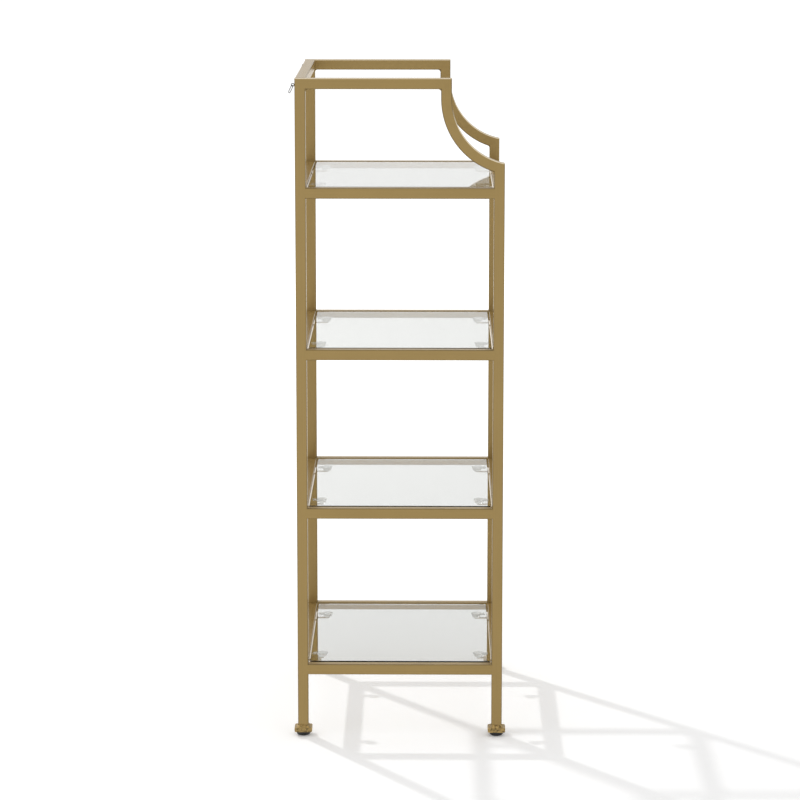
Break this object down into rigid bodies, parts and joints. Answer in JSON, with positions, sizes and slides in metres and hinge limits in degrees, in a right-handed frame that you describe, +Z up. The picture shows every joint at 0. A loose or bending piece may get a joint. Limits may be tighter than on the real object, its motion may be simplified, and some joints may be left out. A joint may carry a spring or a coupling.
{
  "type": "etagere",
  "caption": "Open etagere: square-tube metal frame with a concave upper front corner on each side, and clear glass shelves on suction pads.",
  "frame": {"origin": "centre of the overall footprint on the floor, from the front foot plates to the wall links behind", "axes": "+X to the right when facing the front, +Y to the back, +Z up"},
  "size_m": [0.498, 0.3888, 1.196],
  "materials": {
    "gold_frame": "satin gold metal, even and fine-grained, with soft broad highlights",
    "shelf_glass": "clear polished float glass with green edges",
    "clear_pad": "clear soft plastic, smooth and glossy",
    "black_plastic": "matte black moulded plastic",
    "steel": "zinc-plated steel, slightly dull"
  },
  "bodies": {
    "frame": {"left_back_post": "gold_frame", "left_front_post": "gold_frame", "left_top_rail": "gold_frame", "left_corner_bend": "gold_frame", "left_shelf_rail_1": "gold_frame", "left_shelf_rail_2": "gold_frame", "left_shelf_rail_3": "gold_frame", "left_shelf_rail_4": "gold_frame", "right_back_post": "gold_frame", "right_front_post": "gold_frame", "right_top_rail": "gold_frame", "right_corner_bend": "gold_frame", "right_shelf_rail_1": "gold_frame", "right_shelf_rail_2": "gold_frame", "right_shelf_rail_3": "gold_frame", "right_shelf_rail_4": "gold_frame", "top_back_rail": "gold_frame", "front_rail_1": "gold_frame", "back_rail_1": "gold_frame", "front_rail_2": "gold_frame", "back_rail_2": "gold_frame", "front_rail_3": "gold_frame", "back_rail_3": "gold_frame", "front_rail_4": "gold_frame", "back_rail_4": "gold_frame", "corner_welds": "gold_frame", "foot_plates": "gold_frame", "glass_tabs": "gold_frame", "suction_pads": "clear_pad", "leveler_nuts": "steel", "screw_eyes": "steel", "eye_nuts": "steel"},
    "shelf_1": {"glass_shelf_1": "shelf_glass"},
    "shelf_2": {"glass_shelf_2": "shelf_glass"},
    "shelf_3": {"glass_shelf_3": "shelf_glass"},
    "shelf_4": {"glass_shelf_4": "shelf_glass"},
    "left_front_leveler": {"left_front_glide": "black_plastic", "left_front_stem": "steel"},
    "left_back_leveler": {"left_back_glide": "black_plastic", "left_back_stem": "steel"},
    "right_front_leveler": {"right_front_glide": "black_plastic", "right_front_stem": "steel"},
    "right_back_leveler": {"right_back_glide": "black_plastic", "right_back_stem": "steel"},
    "left_link": {"left_wall_link": "steel"},
    "right_link": {"right_wall_link": "steel"}
  },
  "joints": [
    {"name": "shelf_1_lift", "type": "slide", "parent": "frame", "child": "shelf_1", "axis": [0, 0, 1], "range_m": [0, 0.25]},
    {"name": "shelf_2_lift", "type": "slide", "parent": "frame", "child": "shelf_2", "axis": [0, 0, 1], "range_m": [0, 0.25]},
    {"name": "shelf_3_lift", "type": "slide", "parent": "frame", "child": "shelf_3", "axis": [0, 0, 1], "range_m": [0, 0.25]},
    {"name": "shelf_4_lift", "type": "slide", "parent": "frame", "child": "shelf_4", "axis": [0, 0, 1], "range_m": [0, 0.25]},
    {"name": "left_front_leveler_screw", "type": "slide", "parent": "frame", "child": "left_front_leveler", "axis": [0, 0, -1], "range_m": [0, 0.008]},
    {"name": "left_back_leveler_screw", "type": "slide", "parent": "frame", "child": "left_back_leveler", "axis": [0, 0, -1], "range_m": [0, 0.008]},
    {"name": "right_front_leveler_screw", "type": "slide", "parent": "frame", "child": "right_front_leveler", "axis": [0, 0, -1], "range_m": [0, 0.008]},
    {"name": "right_back_leveler_screw", "type": "slide", "parent": "frame", "child": "right_back_leveler", "axis": [0, 0, -1], "range_m": [0, 0.008]},
    {"name": "left_link_swing", "type": "hinge", "parent": "frame", "child": "left_link", "pos_m": [-0.233, 0.18644, 1.184], "axis": [1, 0, 0], "range_deg": [-25, 130]},
    {"name": "right_link_swing", "type": "hinge", "parent": "frame", "child": "right_link", "pos_m": [0.233, 0.18644, 1.184], "axis": [1, 0, 0], "range_deg": [-25, 130]}
  ]
}
